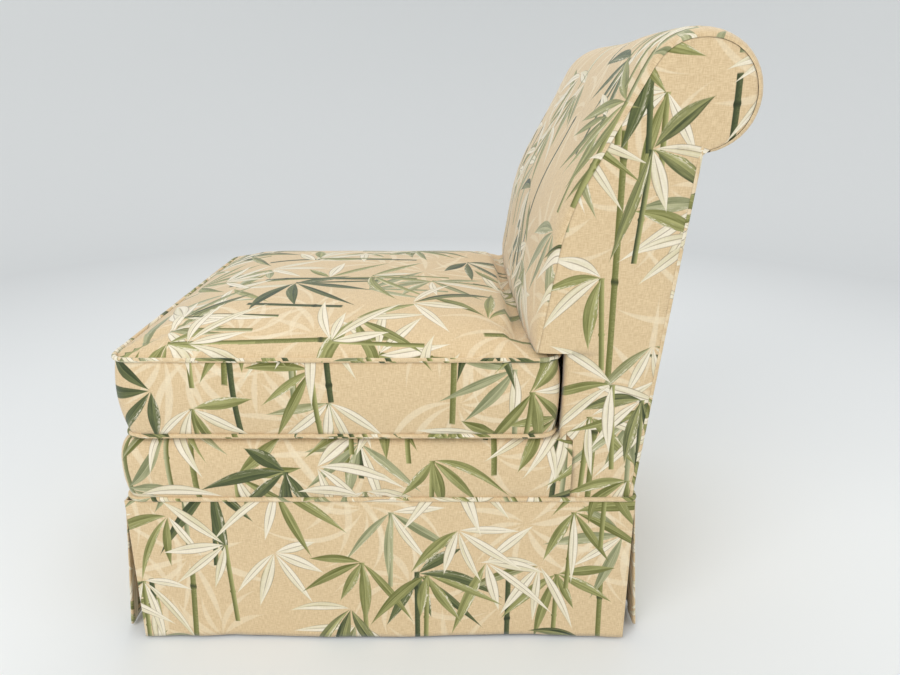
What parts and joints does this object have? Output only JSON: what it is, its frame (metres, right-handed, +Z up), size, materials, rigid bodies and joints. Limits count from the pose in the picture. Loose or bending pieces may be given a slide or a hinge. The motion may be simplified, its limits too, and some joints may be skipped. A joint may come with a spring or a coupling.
{
  "type": "slipper chair",
  "caption": "Armless upholstered slipper chair with a rolled scroll back, a loose boxed seat cushion and a kick-pleated skirt to the floor.",
  "frame": {"origin": "on the floor under the middle of the chair's bounding box", "axes": "+X towards the chair's left side, -Y towards its front, +Z up"},
  "size_m": [0.6198, 0.836, 0.83],
  "materials": {
    "hardwood_frame": "sawn, planed",
    "leg_wood": "dark stained, satin",
    "glide_nylon": "moulded nylon, matt",
    "bolt_steel": "zinc plated",
    "cambric": "thin black non-woven cloth",
    "jute_webbing": "coarse woven jute, 50 mm",
    "burlap": "open plain weave",
    "foam": "open-cell upholstery foam, matt",
    "felt_and_fibre": "cotton felt and polyester fibre",
    "deck_cloth": "plain tan decking cloth",
    "fibreboard": "bent hardboard",
    "card": "grey card strip",
    "printed_linen": "printed linen weave, tan ground with a leaf-and-cane print",
    "zip_nylon": "nylon coil",
    "zip_metal": "die-cast, plated"
  },
  "bodies": {
    "chair": {"back_burlap": "burlap", "back_foam": "foam", "back_post_left": "hardwood_frame", "back_post_right": "hardwood_frame", "back_rail": "hardwood_frame", "back_tacking_rail": "hardwood_frame", "back_top_rail": "hardwood_frame", "back_webbing_level": "jute_webbing", "back_webbing_upright": "jute_webbing", "band_cover_left": "printed_linen", "band_cover_right": "printed_linen", "band_front_cover": "printed_linen", "band_padding": "felt_and_fibre", "corner_blocks": "hardwood_frame", "deck_cloth": "deck_cloth", "deck_pad": "foam", "dust_cover": "cambric", "edge_roll": "felt_and_fibre", "front_rail": "hardwood_frame", "inside_back_cover": "printed_linen", "leg_back_left": "leg_wood", "leg_back_right": "leg_wood", "leg_bolts": "bolt_steel", "leg_front_left": "leg_wood", "leg_front_right": "leg_wood", "leg_glides": "glide_nylon", "lower_back_cover": "printed_linen", "outside_back_cover": "printed_linen", "pleat_inserts_back": "printed_linen", "pleat_inserts_front": "printed_linen", "roll_former": "fibreboard", "seat_burlap": "burlap", "seat_webbing_cross": "jute_webbing", "seat_webbing_long": "jute_webbing", "side_cover_left": "printed_linen", "side_cover_right": "printed_linen", "side_padding_left": "felt_and_fibre", "side_padding_right": "felt_and_fibre", "side_rail_left": "hardwood_frame", "side_rail_right": "hardwood_frame", "skirt_back": "printed_linen", "skirt_front": "printed_linen", "skirt_left": "printed_linen", "skirt_right": "printed_linen", "skirt_tack_strips": "card", "skirt_welt": "printed_linen", "stay_rail": "hardwood_frame"},
    "seat_cushion": {"cushion_bottom_panel": "printed_linen", "cushion_bottom_welt": "printed_linen", "cushion_boxing": "printed_linen", "cushion_core": "foam", "cushion_top_panel": "printed_linen", "cushion_top_welt": "printed_linen", "cushion_wrap": "felt_and_fibre", "cushion_zip_boxing": "printed_linen", "zip_coil_chain": "zip_nylon"},
    "zip_slider": {"zip_slider": "zip_metal"}
  },
  "joints": [
    {"name": "cushion_slide", "type": "slide", "parent": "chair", "child": "seat_cushion", "axis": [0, -1, 0], "range_m": [0, 0.6]},
    {"name": "zip_run", "type": "slide", "parent": "seat_cushion", "child": "zip_slider", "axis": [-1, 0, 0], "range_m": [0, 0.486]}
  ]
}
